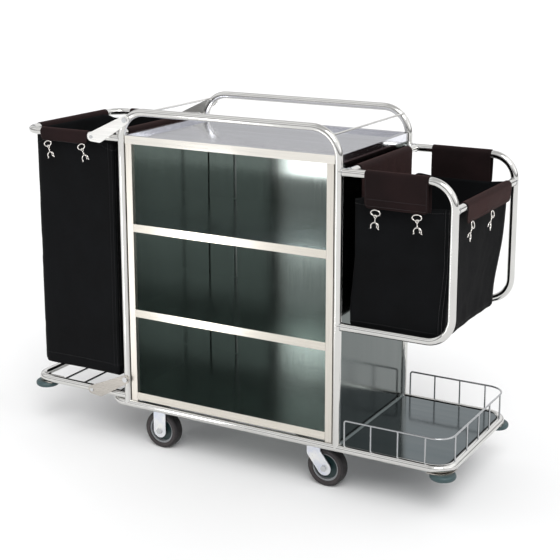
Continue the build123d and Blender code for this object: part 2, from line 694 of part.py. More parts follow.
def build_nodes():
    """Every node of the trolley by name."""
    d_solids = [solid_pipe(d_path(y)) for y in (FRONT, BACK)]
    hoop_solid = solid_pipe(hoop_path())
    front_y, back_y = CASTER_YS
    axle_x = SWIVEL_X + TRAIL
    tray_under = TRAY_Z - TUBE_R
    caster_spots = [(x, y) for x in (RIGID_X, SWIVEL_X) for y in CASTER_YS]
    nodes = {
        "base_loop": pipe(base_path()),
        "base_cross_tubes": base_cross_tubes(),
        "caster_channels": caster_channels(),
        "front_guard_hoop": guard_hoop(FRONT),
        "back_guard_hoop": guard_hoop(BACK),
        "guard_cross_rods": guard_cross_rods(),
        "left_side_panel": side_panel(LEFT_POST - PANEL_PROUD),
        "right_side_panel": side_panel(RIGHT_POST + PANEL_PROUD - PANEL_T),
        "back_panel": back_panel(),
        "face_stiles": group([stile(-1), stile(1)]),
        "bottom_shelf": shelf(FLOOR_Z),
        "lower_shelf": shelf(FLOOR_Z + SHELF_PITCH),
        "upper_shelf": shelf(FLOOR_Z + 2 * SHELF_PITCH),
        "top_deck": top_deck(),
        "platform_pan": platform_pan(),
        "gallery_rail": gallery_rail(),
        "gallery_posts": gallery_posts(),
        "front_d_loop": d_loop(FRONT),
        "back_d_loop": d_loop(BACK),
        "outer_bag_bar": cross_bar(D_RIGHT, OUTER_BAR_Z, TUBE_R, TUBE_WALL, d_solids),
        "inner_bag_bar": cross_bar(RIGHT_INNER_BAR_X, D_LOOP_TOP, TUBE_R, TUBE_WALL, d_solids),
        "base_corner_plates": group([corner_plate(x, y, BASE_UNDER, 1, s) for x, y, s in BASE_BUFFERS]),
        "base_buffers": group([buffer_ring(x, y, BASE_UNDER - PLATE_T) for x, y, s in BASE_BUFFERS]),
        "base_buffer_bolts": group([buffer_bolt(x, y, BASE_UNDER) for x, y, s in BASE_BUFFERS]),
        "holder_pivot_bolts": group([pivot_bolt_at(pivot, y) for pivot in (HOOP_PIVOT, TRAY_PIVOT)
                                     for y in (FRONT, BACK)]),
        "hoop_tube": holder_tube(hoop_path(), HOOP_Z, HOOP_PLATE_ENDS[:1]),
        "hoop_inner_bar": cross_bar(INNER_BAR_X, INNER_BAR_Z, TUBE_R, TUBE_WALL, [hoop_solid]),
        "hoop_hinge_plates": group(both_sides(lambda y, s: hinge_plate(HOOP_PLATE_ENDS, y, s))),
        "hoop_plate_rivets": group(both_sides(lambda y, s: plate_rivet(HOOP_PLATE_ENDS[0], y, s))),
        "tray_tube": holder_tube(tray_path(), TRAY_Z, TRAY_PLATE_ENDS[:1]),
        "tray_wires": tray_wires(),
        "tray_hinge_plates": group(both_sides(lambda y, s: hinge_plate(TRAY_PLATE_ENDS, y, s))),
        "tray_plate_rivets": group(both_sides(lambda y, s: plate_rivet(TRAY_PLATE_ENDS[0], y, s))),
        "tray_corner_plates": group([corner_plate(x, y, tray_under, -1, s) for x, y, s in TRAY_BUFFERS]),
        "tray_buffers": group([buffer_ring(x, y, tray_under - PLATE_T) for x, y, s in TRAY_BUFFERS]),
        "tray_buffer_bolts": group([buffer_bolt(x, y, tray_under) for x, y, s in TRAY_BUFFERS]),
        "caster_plates": group([mounting_plate(x, y) for x, y in caster_spots]),
        "caster_bolts": group([bolt for x, y in caster_spots for bolt in caster_bolts(x, y)]),
        "rigid_forks": group([rigid_fork(y) for y in CASTER_YS]),
        "rigid_axles": group([axle_bolt(RIGID_X, y) for y in CASTER_YS]),
        "swivel_races": group([swivel_race(y) for y in CASTER_YS]),
        "kingpins": group([kingpin(y) for y in CASTER_YS]),
        "left_bag": left_bag(),
        "left_bag_cuffs": left_bag_cuffs(),
        "left_bag_hooks": left_bag_hooks(),
        "right_bag": right_bag(),
        "right_bag_flaps": right_bag_flaps(),
        "right_bag_hooks": right_bag_hooks(),
    }
    for name, y in (("front", front_y), ("back", back_y)):
        nodes[f"{name}_rigid_hub"] = hub(RIGID_X, y)
        nodes[f"{name}_rigid_tyre"] = tyre(RIGID_X, y)
        nodes[f"{name}_swivel_fork"] = swivel_fork(y)
        nodes[f"{name}_swivel_axle"] = axle_bolt(axle_x, y)
        nodes[f"{name}_swivel_hub"] = hub(axle_x, y)
        nodes[f"{name}_swivel_tyre"] = tyre(axle_x, y)
    return nodes


def main():
    os.makedirs("parts", exist_ok=True)
    for name, shape in build_nodes().items():
        export_step(shape, f"parts/{name}.step")


main()
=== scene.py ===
import math

import bpy
from mathutils import Matrix, Vector, noise


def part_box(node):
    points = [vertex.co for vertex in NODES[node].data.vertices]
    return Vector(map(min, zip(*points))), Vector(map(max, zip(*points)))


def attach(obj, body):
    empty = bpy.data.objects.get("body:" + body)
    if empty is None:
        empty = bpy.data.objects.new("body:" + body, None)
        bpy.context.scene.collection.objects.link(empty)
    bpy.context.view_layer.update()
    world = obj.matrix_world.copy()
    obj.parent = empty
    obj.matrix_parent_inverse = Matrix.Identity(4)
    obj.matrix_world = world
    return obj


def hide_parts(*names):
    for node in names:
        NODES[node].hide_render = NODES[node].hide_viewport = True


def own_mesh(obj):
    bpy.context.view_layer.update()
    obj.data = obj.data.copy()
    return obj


# Looks of the linen trolley round its CAD frame. Metres, row frame: +X along the trolley to the
# platform, +Y to the back, +Z up.

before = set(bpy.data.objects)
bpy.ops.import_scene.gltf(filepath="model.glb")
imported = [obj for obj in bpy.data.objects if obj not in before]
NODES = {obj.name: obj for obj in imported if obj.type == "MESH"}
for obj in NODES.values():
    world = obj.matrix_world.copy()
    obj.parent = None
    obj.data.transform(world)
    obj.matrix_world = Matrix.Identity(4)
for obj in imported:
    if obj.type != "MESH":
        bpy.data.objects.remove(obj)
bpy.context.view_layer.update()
UP = Vector((0, 0, 1))

# Camera, solved for the viewing angle
CAMERA_AT = (1.8104, -3.1245, 1.5260)
CAMERA_TARGET = (0.0575, 0.0, 0.7205)
CAMERA_LENS = 81.4
CAMERA_SHIFT_Y = -0.12

# Low light card in front, whose reflection brightens the right of the back sheet
CARD_AT = (-0.70, -1.20, 0.36)
CARD_SIZE = (0.24, 0.68)
CARD_ENERGY = 2.4

# Places and sizes that the CAD frame doesn't give by a box. Tubes are given by their middles.
TUBE_R = 0.011
FRONT_Y = -0.224
BACK_Y = 0.224
LEFT_POST = -0.3365
RIGHT_POST = 0.3595
MIDDLE_X = (LEFT_POST + RIGHT_POST) / 2
BASE_Z = 0.139
HOOP_END_X = -0.6865
HOOP_Z = 0.939
HOOP_BAR_X = -0.3635
HOOP_BAR_Z = 0.947
TRAY_TAIL_Z = 0.162
INNER_BAR_X = 0.3845
OUTER_BAR_X = 0.6835
OUTER_BAR_Z = 0.836
D_LOOP_TOP_Z = 0.907
D_LOOP_FOOT_Z = 0.487
TAIL_SETBACK = 0.0250                # left post to the open tails of the hoop and tray

# Planes that part the two colours of a sheet. In the side and back sheets, the darker colour beyond
# the plane is painted shade
SIDE_PLANE = 0.3485                  # within the side sheets, from the middle of the cabinet
BACK_PLANE_Y = 0.2177                # within the back sheet
STRIP_PLANE_Y = -0.2243              # within the folded fronts of the shelves and the deck

# Rings of a wheel, by their outer radius
HUB_CORE_R = 0.013
HUB_FACE_R = 0.0355
TYRE_SIDE_R = 0.0495
BEYOND = 1.0                         # for the outermost ring, which has no edge on the wheel

# How the canvas of a bag lies inside its outline
CANVAS_INSET = 0.0018
SEAM_ROOM = 0.0016                   # least inset, so the seams stay inside the outline too
FOLD_DEPTH = 0.0022                  # upright folds
SWELL_DEPTH = 0.0032                 # broad soft swells
CREASE_DEPTH = 0.0011                # small creases
BOTTOM_ROUNDING = 0.0045
PIPING_R = 0.0014

# Cuffs and snap hooks
FABRIC_T = 0.0020
RAIL_FABRIC_R = TUBE_R + 0.0014      # middle of the fabric folded over a rail
CUFF_HALF = 0.165                    # half the length of a cuff across the trolley
HOOK_OFF_RAIL = 0.0136               # rail centre to the middle of a snap hook
HOOK_WIRE_R = 0.0017
EYE_WIRE_R = 0.0011
GATE_WIRE_R = 0.0010


# ---------------------------------------------------------------- node materials

class Graph:
    """A material's node tree with a Principled shader, and short ways to add to it."""

    def __init__(self, name, colour, metallic=0.0, roughness=0.5, **inputs):
        self.material = bpy.data.materials.new(name)
        self.material.use_nodes = True
        self.tree = self.material.node_tree
        self.shader = self.tree.nodes["Principled BSDF"]
        self.material.diffuse_color = (*colour, 1)
        self.set(self.shader, "Base Color", (*colour, 1))
        self.set(self.shader, "Metallic", metallic)
        self.set(self.shader, "Roughness", roughness)
        for key, value in inputs.items():
            self.set(self.shader, key.replace("_", " "), value)
        self.point = self.add("ShaderNodeTexCoord").outputs["Object"]

    def set(self, node, key, value):
        """Sets an input to a value, or links an output to it."""
        if isinstance(value, bpy.types.NodeSocket):
            self.tree.links.new(value, node.inputs[key])
        else:
            node.inputs[key].default_value = value

    def add(self, kind, inputs=None, **settings):
        node = self.tree.nodes.new(kind)
        for key, value in settings.items():
            setattr(node, key, value)
        for key, value in (inputs or {}).items():
            self.set(node, key, value)
        return node

    def math(self, operation, a, b=0.0):
        return self.add("ShaderNodeMath", {0: a, 1: b}, operation=operation).outputs[0]

    def axes(self):
        """The x, y and z of the surface point."""
        parts = self.add("ShaderNodeSeparateXYZ", {0: self.point})
        return parts.outputs[0], parts.outputs[1], parts.outputs[2]

    def noise(self, scale, detail=3.0, stretch=(1, 1, 1)):
        """Noise from 0 to 1. A small stretch along an axis draws it out along that axis."""
        mapped = self.add("ShaderNodeMapping", {"Vector": self.point, "Scale": stretch})
        made = self.add("ShaderNodeTexNoise", {"Vector": mapped.outputs[0], "Scale": scale,
                                               "Detail": detail})
        return made.outputs["Fac"]

    def fit(self, value, low, high, out_low, out_high):
        node = self.add("ShaderNodeMapRange", {"Value": value, "From Min": low, "From Max": high,
                                               "To Min": out_low, "To Max": out_high})
        return node.outputs[0]

    def blend(self, share, a, b):
        """Colour a at share 0, colour b at share 1."""
        node = self.add("ShaderNodeMix", data_type="RGBA")
        self.set(node, 0, share)
        for index, colour in ((6, a), (7, b)):
            value = colour if isinstance(colour, bpy.types.NodeSocket) else (*colour, 1)
            self.set(node, index, value)
        return node.outputs[2]

    def bump(self, height, strength, distance, under=None):
        inputs = {"Height": height, "Strength": strength, "Distance": distance}
        if under is not None:
            inputs["Normal"] = under
        return self.add("ShaderNodeBump", inputs).outputs[0]

    def finish(self, colour=None, roughness=None, normal=None):
        for key, value in (("Base Color", colour), ("Roughness", roughness), ("Normal", normal)):
            if value is not None:
                self.set(self.shader, key, value)
        return self.material


def shade(colour, factor):
    return tuple(min(1.0, c * factor) for c in colour)


def polished(name, colour, roughness):
    """Polished stainless: faint handling marks, fine buffing lines and a slight waviness."""
    g = Graph(name, colour, metallic=1.0, roughness=roughness)
    marks = g.noise(9.0, 4.0)
    fine = g.noise(900.0, 2.0)
    wave = g.noise(38.0, 1.0)
    tone = g.blend(g.fit(marks, 0.35, 0.7, 0, 1), shade(colour, 0.93), colour)
    rough = g.fit(marks, 0.3, 0.75, roughness * 0.7, roughness * 1.6)
    normal = g.bump(fine, 0.05, 0.0002, g.bump(wave, 0.10, 0.0008))
    return g.finish(tone, rough, normal)


def brushed(name, colour, grain, roughness=0.32, depth=0.20):
    """Brushed stainless with its grain drawn out along one axis: 0 x, 1 y, 2 z."""
    g = Graph(name, colour, metallic=1.0, roughness=roughness)
    return finish_brushed(g, colour, grain, roughness, depth)


def finish_brushed(g, colour, grain, roughness, depth):
    """Adds the grain to a brushed sheet. The colour is one colour, or an output that gives it."""
    along = [1.0, 1.0, 1.0]
    along[grain] = 0.012
    streaks = g.noise(620.0, 4.0, tuple(along))
    wide = g.noise(42.0, 3.0, tuple(along))
    clouds = g.noise(5.0, 3.0)
    if isinstance(colour, bpy.types.NodeSocket):
        dark = g.blend(0.16, colour, (0, 0, 0))
    else:
        dark = shade(colour, 0.84)
    tone = g.blend(g.fit(streaks, 0.3, 0.7, 0, 1), dark, colour)
    tone = g.blend(g.fit(wide, 0.35, 0.65, 0.12, 0), tone, (0.2, 0.2, 0.2))
    rough = g.fit(g.math("ADD", streaks, clouds), 0.7, 1.3, roughness * 0.8, roughness * 1.3)
    return g.finish(tone, rough, g.bump(streaks, depth, 0.0002))


def side_sheet():
    """Cabinet side and back sheets: grey-green within. The deeper green-grey of the outer faces is
    painted shade, standing for the shadow and dark reflection of the black bag beside the cabinet.
    """
    # outer is painted shade: the same steel, darkened on its outer faces, not a colour of the sheet
    inner, outer = (0.35, 0.395, 0.375), (0.115, 0.135, 0.13)
    g = Graph("cabinet_sheet", outer, metallic=1.0)
    x, y, _ = g.axes()
    from_middle = g.math("ABSOLUTE", g.math("SUBTRACT", x, MIDDLE_X))
    beyond_side = g.math("GREATER_THAN", from_middle, SIDE_PLANE)
    beyond_back = g.math("GREATER_THAN", y, BACK_PLANE_Y)
    # Mask of the outer faces, which take the painted shade colour
    painted_shade_faces = g.math("MAXIMUM", beyond_side, beyond_back)
    return finish_brushed(g, g.blend(painted_shade_faces, inner, outer), 2, 0.12, 0.03)


def shelf_sheet():
    """Shelves: grey-green sheet, with a cream brushed strip along the folded front."""
    inner, strip = (0.33, 0.375, 0.36), (0.78, 0.74, 0.66)
    g = Graph("shelf_sheet", strip, metallic=1.0)
    _, y, _ = g.axes()
    front = g.math("LESS_THAN", y, STRIP_PLANE_Y)
    return finish_brushed(g, g.blend(front, inner, strip), 0, 0.17, 0.05)


def deck_sheet():
    """Top deck: pale satin sheet, its folded front cream like the shelves."""
    top, strip = (0.92, 0.93, 0.99), (0.82, 0.79, 0.73)
    g = Graph("deck_sheet", top, metallic=1.0)
    _, y, _ = g.axes()
    front = g.math("LESS_THAN", y, STRIP_PLANE_Y)
    return finish_brushed(g, g.blend(front, top, strip), 0, 0.11, 0.03)


def zinc():
    """Bright zinc plating with its pale spangle and a faint rainbow of blue and straw."""
    g = Graph("zinc_plate", (0.72, 0.75, 0.82), metallic=1.0, roughness=0.34)
    clouds = g.noise(28.0, 4.0)
    grains = g.noise(420.0, 2.0)
    tone = g.blend(g.fit(clouds, 0.35, 0.65, 0, 1), (0.66, 0.69, 0.78), (0.84, 0.84, 0.82))
    return g.finish(tone, g.fit(grains, 0.3, 0.7, 0.26, 0.42), g.bump(grains, 0.12, 0.0002))


def canvas(name, colour, sheen, tint, specular, pitch=0.0014):
    """Coated canvas: a plain weave, faded creases, lint and a soft sheen."""
    g = Graph(name, colour, roughness=0.82, Sheen_Weight=sheen, Sheen_Roughness=0.45,
              Specular_IOR_Level=specular)
    g.set(g.shader, "Sheen Tint", (*tint, 1))
    x, y, z = g.axes()
    turn = 2 * math.pi / pitch
    weft = g.math("SINE", g.math("MULTIPLY", g.math("ADD", x, y), turn))
    warp = g.math("SINE", g.math("MULTIPLY", z, turn))
    weave = g.fit(g.math("MULTIPLY", weft, warp), -1, 1, 0, 1)
    fade = g.noise(11.0, 5.0)
    lint = g.noise(260.0, 2.0)
    crease = g.noise(26.0, 6.0)
    tone = g.blend(g.fit(fade, 0.35, 0.7, 0, 1), shade(colour, 0.72), shade(colour, 1.35))
    tone = g.blend(g.fit(weave, 0, 1, 0.30, 0), tone, (0.002, 0.002, 0.002))
    tone = g.blend(g.fit(lint, 0.68, 0.80, 0, 0.25), tone, shade(colour, 4.0))
    normal = g.bump(weave, 0.45, 0.0004, g.bump(crease, 0.22, 0.0030))
    return g.finish(tone, g.fit(fade, 0.3, 0.7, 0.74, 0.90), normal)


def thread(name, colour):
    """Twisted sewing thread."""
    g = Graph(name, colour, roughness=0.7, Sheen_Weight=0.2)
    twist = g.noise(1500.0, 1.0)
    return g.finish(g.blend(twist, shade(colour, 0.6), shade(colour, 1.3)), None,
                    g.bump(twist, 0.4, 0.0002))


def rubber(name, colour, roughness):
    """Moulded rubber: fine pitting, dust in the low spots and scuffed patches."""
    g = Graph(name, colour, roughness=roughness)
    scuff = g.noise(34.0, 5.0)
    pits = g.noise(700.0, 2.0)
    dust = g.noise(95.0, 4.0)
    tone = g.blend(g.fit(scuff, 0.4, 0.7, 0, 0.5), colour, shade(colour, 1.9))
    tone = g.blend(g.fit(dust, 0.58, 0.74, 0, 0.22), tone, (0.20, 0.18, 0.16))
    rough = g.fit(scuff, 0.3, 0.7, roughness * 0.85, roughness * 1.2)
    return g.finish(tone, rough, g.bump(pits, 0.30, 0.0003))


def wheel_centre(node):
    low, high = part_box(node)
    return (low + high) / 2


def wheel_material(name, centre, rings, roughness):
    """Moulded wheel coloured in rings about its axle. rings is [(outer radius, colour), ...]."""
    g = Graph(name, rings[0][1], roughness=roughness)
    x, _, z = g.axes()
    dx = g.math("SUBTRACT", x, centre.x)
    dz = g.math("SUBTRACT", z, centre.z)
    radius = g.math("SQRT", g.math("ADD", g.math("MULTIPLY", dx, dx), g.math("MULTIPLY", dz, dz)))
    tone = g.blend(0.0, rings[0][1], rings[0][1])
    for (edge, _), (_, colour) in zip(rings, rings[1:]):
        tone = g.blend(g.math("GREATER_THAN", radius, edge), tone, colour)
    grain = g.noise(520.0, 3.0)
    wear = g.noise(60.0, 4.0)
    tone = g.blend(g.fit(wear, 0.5, 0.75, 0, 0.16), tone, (0.16, 0.15, 0.14))
    rough = g.fit(wear, 0.3, 0.7, roughness * 0.8, roughness * 1.25)
    return g.finish(tone, rough, g.bump(grain, 0.25, 0.0003))


STEEL = polished("polished_stainless", (0.66, 0.655, 0.635), 0.09)
DARK_STEEL = polished("shaded_stainless", (0.10, 0.12, 0.12), 0.16)
WIRE = polished("polished_wire", (0.46, 0.47, 0.48), 0.15)
NICKEL = polished("nickel_plate", (0.76, 0.73, 0.69), 0.16)
FACE = brushed("cream_brushed_steel", (0.78, 0.74, 0.67), 2)
SHELF = shelf_sheet()
CABINET = side_sheet()
DECK = deck_sheet()
PLATFORM = brushed("platform_satin_steel", (0.070, 0.094, 0.102), 0, 0.11, 0.05)
HINGE = brushed("hinge_plate_steel", (0.97, 0.96, 0.93), 0, 0.34, 0.10)
TRAY_PLATE = brushed("tray_plate_steel", (0.50, 0.47, 0.43), 0, 0.26, 0.12)
BOLT = brushed("plated_bolt_steel", (0.62, 0.63, 0.64), 1, 0.30, 0.14)
ZINC = zinc()
BUFFER = rubber("buffer_rubber", (0.026, 0.052, 0.056), 0.46)
CANVAS = canvas("black_bag_canvas", (0.0040, 0.0044, 0.0050), 0.012, (0.80, 0.74, 0.72), 0.07)
CUFF = canvas("brown_black_cuff_canvas", (0.0110, 0.0058, 0.0060), 0.085, (0.90, 0.42, 0.38), 0.10)
THREAD = thread("dark_thread", (0.018, 0.016, 0.017))

CAD_LOOKS = [
    (STEEL, "base_loop front_guard_hoop back_guard_hoop guard_cross_rods "
            "front_d_loop back_d_loop outer_bag_bar inner_bag_bar hoop_tube hoop_inner_bar tray_tube"),
    (DARK_STEEL, "base_cross_tubes"),
    (WIRE, "gallery_rail gallery_posts tray_wires"),
    (FACE, "face_stiles"),
    (SHELF, "bottom_shelf lower_shelf upper_shelf"),
    (CABINET, "left_side_panel right_side_panel back_panel"),
    (DECK, "top_deck"),
    (PLATFORM, "platform_pan"),
    (HINGE, "hoop_hinge_plates"),
    (TRAY_PLATE, "tray_hinge_plates base_corner_plates tray_corner_plates"),
    (BOLT, "holder_pivot_bolts hoop_plate_rivets tray_plate_rivets base_buffer_bolts "
           "tray_buffer_bolts caster_bolts rigid_axles kingpins front_swivel_axle back_swivel_axle"),
    (ZINC, "caster_channels caster_plates rigid_forks swivel_races front_swivel_fork "
           "back_swivel_fork"),
    (BUFFER, "base_buffers tray_buffers"),
]


def dress(node, material):
    data = NODES[node].data
    data.materials.clear()
    data.materials.append(material)


def dress_cad():
    for material, names in CAD_LOOKS:
        for node in names.split():
            dress(node, material)
    teal, dark, pale = (0.010, 0.030, 0.032), (0.012, 0.014, 0.015), (0.23, 0.24, 0.25)
    black, brown = (0.010, 0.008, 0.009), (0.026, 0.020, 0.021)
    for wheel in ("front_rigid", "back_rigid", "front_swivel", "back_swivel"):
        centre = wheel_centre(wheel + "_tyre")
        hub_rings = [(HUB_CORE_R, dark), (HUB_FACE_R, teal), (BEYOND, pale)]
        tyre_rings = [(TYRE_SIDE_R, brown), (BEYOND, black)]
        dress(wheel + "_hub", wheel_material(wheel + "_hub_look", centre, hub_rings, 0.42))
        dress(wheel + "_tyre", wheel_material(wheel + "_tyre_look", centre, tyre_rings, 0.62))


# ---------------------------------------------------------------- mesh helpers

def make_piece(name, points, faces, materials, body, face_materials=None):
    """A smooth mesh piece that rides on a CAD body."""
    mesh = bpy.data.meshes.new(name)
    mesh.from_pydata([tuple(p) for p in points], [], faces)
    for material in materials:
        mesh.materials.append(material)
    for index, polygon in enumerate(mesh.polygons):
        polygon.use_smooth = True
        if face_materials:
            polygon.material_index = face_materials[index]
    mesh.update()
    piece = bpy.data.objects.new(name, mesh)
    bpy.context.scene.collection.objects.link(piece)
    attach(piece, body)
    return piece


def grid_faces(rows, columns, closed):
    """Quads over rows of points, each row closed into a ring or not."""
    faces = []
    for r in range(rows - 1):
        for c in range(columns if closed else columns - 1):
            d = (c + 1) % columns
            faces.append((r * columns + c, r * columns + d, (r + 1) * columns + d,
                          (r + 1) * columns + c))
    return faces


def bake_modifiers(piece):
    depsgraph = bpy.context.evaluated_depsgraph_get()
    mesh = bpy.data.meshes.new_from_object(piece.evaluated_get(depsgraph))
    piece.modifiers.clear()
    piece.data = mesh


def thicken(piece, thickness, offset, smooth_levels=0):
    """Gives a sheet its thickness and rounds it, as real mesh."""
    solid = piece.modifiers.new("thickness", "SOLIDIFY")
    solid.thickness = thickness
    solid.offset = offset
    if smooth_levels:
        subdivide = piece.modifiers.new("smooth", "SUBSURF")
        subdivide.levels = smooth_levels
    bake_modifiers(piece)


class Build:
    """Collects tubes, rings and lathed parts into one mesh."""

    def __init__(self):
        self.points, self.faces, self.tags = [], [], []

    def add(self, points, faces, tag=0):
        start = len(self.points)
        self.points += points
        self.faces += [tuple(start + i for i in face) for face in faces]
        self.tags += [tag] * len(faces)

    def tube(self, path, radius, closed=False, sides=10, tag=0):
        """Round wire along a list of points."""
        rows = []
        normal = None
        count = len(path)
        for i, at in enumerate(path):
            before = path[i - 1] if closed or i > 0 else at
            after = path[(i + 1) % count] if closed or i < count - 1 else at
            along = (after - before).normalized()
            if normal is None:
                normal = along.orthogonal().normalized()
            normal = (normal - along * normal.dot(along)).normalized()
            side = along.cross(normal)
            for k in range(sides):
                a = 2 * math.pi * k / sides
                rows.append(at + (normal * math.cos(a) + side * math.sin(a)) * radius)
        faces = grid_faces(count, sides, True)
        if closed:
            last = (count - 1) * sides
            faces += [(last + k, last + (k + 1) % sides, (k + 1) % sides, k) for k in range(sides)]
        else:
            faces += [tuple(range(sides))[::-1],
                      tuple((count - 1) * sides + k for k in range(sides))]
        self.add(rows, faces, tag)

    def lathe(self, profile, place, sides=20):
        """Turns (radius, height) pairs about the z axis of a placement matrix."""
        rows = []
        for radius, height in profile:
            for k in range(sides):
                a = 2 * math.pi * k / sides
                rows.append(place @ Vector((radius * math.cos(a), radius * math.sin(a), height)))
        faces = grid_faces(len(profile), sides, True)
        last = (len(profile) - 1) * sides
        faces += [tuple(range(sides))[::-1], tuple(last + k for k in range(sides))]
        self.add(rows, faces)

    def stitch(self, at, along, out, length=0.0042, width=0.0009, tag=1):
        """One sewn stitch: a small domed lozenge lying on the cloth."""
        side = along.cross(out).normalized()
        low, high = at - along * length / 2, at + along * length / 2
        mid = at + out * width * 0.8
        ring = [low, at + side * width / 2, high, at - side * width / 2, mid,
                at - out * width * 0.6]
        faces = [(0, 1, 4), (1, 2, 4), (2, 3, 4), (3, 0, 4), (1, 0, 5), (2, 1, 5), (3, 2, 5),
                 (0, 3, 5)]
        self.add(ring, faces, tag)

    def piece(self, name, materials, body, slot):
        return make_piece(name, self.points, self.faces, materials, body, self.tags)


def smoothstep(x):
    x = max(0.0, min(1.0, x))
    return x * x * (3 - 2 * x)


def wrinkle(point, size, seed):
    """Smooth signed noise, about -1 to 1, that repeats from run to run."""
    return noise.noise(point / size + Vector((seed * 7.3, seed * 3.1, seed * 5.7)))


# ---------------------------------------------------------------- bags

class Bag:
    """An open canvas bag, as a surface over its outline and its depth.
    An index goes once round the outline from the front left corner, and t goes from the rim (0)
    to the bottom (1)."""

    def __init__(self, low, high, corners, seed, corner_dip, hollow, lean):
        self.low, self.high = low, high
        self.seed, self.corner_dip, self.hollow, self.lean = seed, corner_dip, hollow, lean
        self.outline = []
        x0, y0, x1, y1 = low.x, low.y, high.x, high.y
        left, right = corners
        centres = [(x1 - right, y0 + right, right, -90), (x1 - right, y1 - right, right, 0),
                   (x0 + left, y1 - left, left, 90), (x0 + left, y0 + left, left, 180)]
        walls = [((x0 + left, y0), (x1 - right, y0)), ((x1, y0 + right), (x1, y1 - right)),
                 ((x1 - right, y1), (x0 + left, y1)), ((x0, y1 - left), (x0, y0 + left))]
        for ((ax, ay), (bx, by)), (cx, cy, radius, start) in zip(walls, centres):
            steps = max(2, round(math.hypot(bx - ax, by - ay) / 0.006))
            out = Vector((by - ay, ax - bx, 0)).normalized()
            for i in range(steps):
                w = i / steps
                self.outline.append((Vector((ax + (bx - ax) * w, ay + (by - ay) * w, 0)), out, w))
            arc_steps = max(3, round(radius * math.pi / 2 / 0.004))
            for i in range(arc_steps):
                a = math.radians(start + 90 * i / arc_steps)
                out = Vector((math.cos(a), math.sin(a), 0))
                self.outline.append((Vector((cx, cy, 0)) + out * radius, out, 0.0))

    def corner_distance(self, at):
        dx = min(abs(at.x - self.low.x), abs(at.x - self.high.x))
        dy = min(abs(at.y - self.low.y), abs(at.y - self.high.y))
        return math.hypot(dx, dy)

    def at(self, index, t):
        """Point and outward direction at an outline index and a depth."""
        base, out, w = self.outline[index % len(self.outline)]
        rim = self.high.z - self.corner_dip * smoothstep(1 - self.corner_distance(base) / 0.075)
        z = rim + (self.low.z - rim) * t
        here = Vector((base.x, base.y, z))
        along_wall = 4 * w * (1 - w)
        pull = self.hollow * along_wall * (0.35 + 0.65 * math.sin(math.pi * min(1, t * 1.05)))
        folds = FOLD_DEPTH * wrinkle(Vector((here.x, here.y, here.z * 0.22)), 0.055, self.seed)
        swells = SWELL_DEPTH * wrinkle(here, 0.16, self.seed + 1)
        creases = CREASE_DEPTH * wrinkle(here, 0.030, self.seed + 2)
        edge = BOTTOM_ROUNDING * smoothstep((t - 0.982) / 0.018)
        inward = pull + CANVAS_INSET + folds * (0.4 + 0.6 * t) + swells + creases + edge
        here -= out * max(SEAM_ROOM, inward)
        here += self.lean(here, t)
        return here, out

    def build(self, rows):
        """The wall from rim to bottom, then rings that close the sagging bottom."""
        columns = len(self.outline)
        points = []
        for r in range(rows + 1):
            t = r / rows
            points += [self.at(c, t)[0] for c in range(columns)]
        centre = sum(points[-columns:], Vector()) / columns
        rings = 14
        wall_foot = points[-columns:]
        for ring in range(1, rings + 1):
            share = ring / rings
            for foot in wall_foot:
                p = foot.lerp(centre, share * 0.985)
                sag = 0.005 * smoothstep(share * 1.4) + 0.0015 * wrinkle(p, 0.06, self.seed + 4)
                points.append(Vector((p.x, p.y, max(self.low.z, foot.z - sag))))
        faces = grid_faces(rows + 1 + rings, columns, True)
        faces.append(tuple((rows + rings) * columns + c for c in range(columns)))
        return points, [face[::-1] for face in faces]

    def seam_rows(self, build, indices, rows=110):
        """Two rows of stitches down the bag at each outline index."""
        for index in indices:
            for offset in (-1, 1):
                for r in range(1, rows):
                    t = 0.97 * r / rows
                    at, out = self.at(index + offset, t)
                    after, _ = self.at(index + offset, t + 0.004)
                    build.stitch(at + out * 0.0003, (after - at).normalized(), out)

    def hem_row(self, build, t):
        """A row of stitches round the bag at one depth."""
        for index in range(len(self.outline)):
            at, out = self.at(index, t)
            after, _ = self.at(index + 1, t)
            if (after - at).length > 1e-5:
                build.stitch(at + out * 0.0003, (after - at).normalized(), out, length=0.0040)


def corner_indices(bag):
    """Outline indices of the middles of the four corner arcs."""
    found, run = [], []
    for i, (_, _, w) in enumerate(bag.outline + bag.outline[:1]):
        if w == 0.0:
            run.append(i)
        else:
            if len(run) > 2:
                found.append(run[len(run) // 2])
            run = []
    return found


def piping(bag, build, indices, rows=90):
    """Bound edge down each sewn corner."""
    for index in indices:
        path = []
        for r in range(rows + 1):
            at, out = bag.at(index, 0.985 * r / rows)
            path.append(at - out * PIPING_R * 0.2)
        build.tube(path, PIPING_R, sides=8)


def straight_bag(_, __):
    return Vector()


def right_bag_lean(here, t):
    """The lower back of the right bag is drawn in, as it hangs empty. It leans to the cabinet only
    below the part that passes its inner bar when the bag is lifted."""
    towards_back = smoothstep((here.y + 0.10) / 0.30)
    below_lift = smoothstep((t - 0.40) / 0.50)
    return Vector((-0.012 * below_lift, -0.055 * smoothstep(t) * towards_back, 0))


def make_bag(node, body, corners, seed, corner_dip, hollow, lean, rows):
    low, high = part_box(node)
    bag = Bag(low, high, corners, seed, corner_dip, hollow, lean)
    points, faces = bag.build(rows)
    piece = make_piece(node + "_canvas", points, faces, [CANVAS], body)
    thicken(piece, FABRIC_T, -1)
    for polygon in piece.data.polygons:
        polygon.use_smooth = True
    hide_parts(node)
    sewn = Build()
    corner_at = corner_indices(bag)
    piping(bag, sewn, corner_at)
    bag.seam_rows(sewn, [i - 3 for i in corner_at] + [i + 3 for i in corner_at])
    bag.hem_row(sewn, 0.030)
    bag.hem_row(sewn, 0.955)
    seams = sewn.piece(node + "_seams", [CANVAS, THREAD], body, "bag_canvas")
    return [piece, seams]


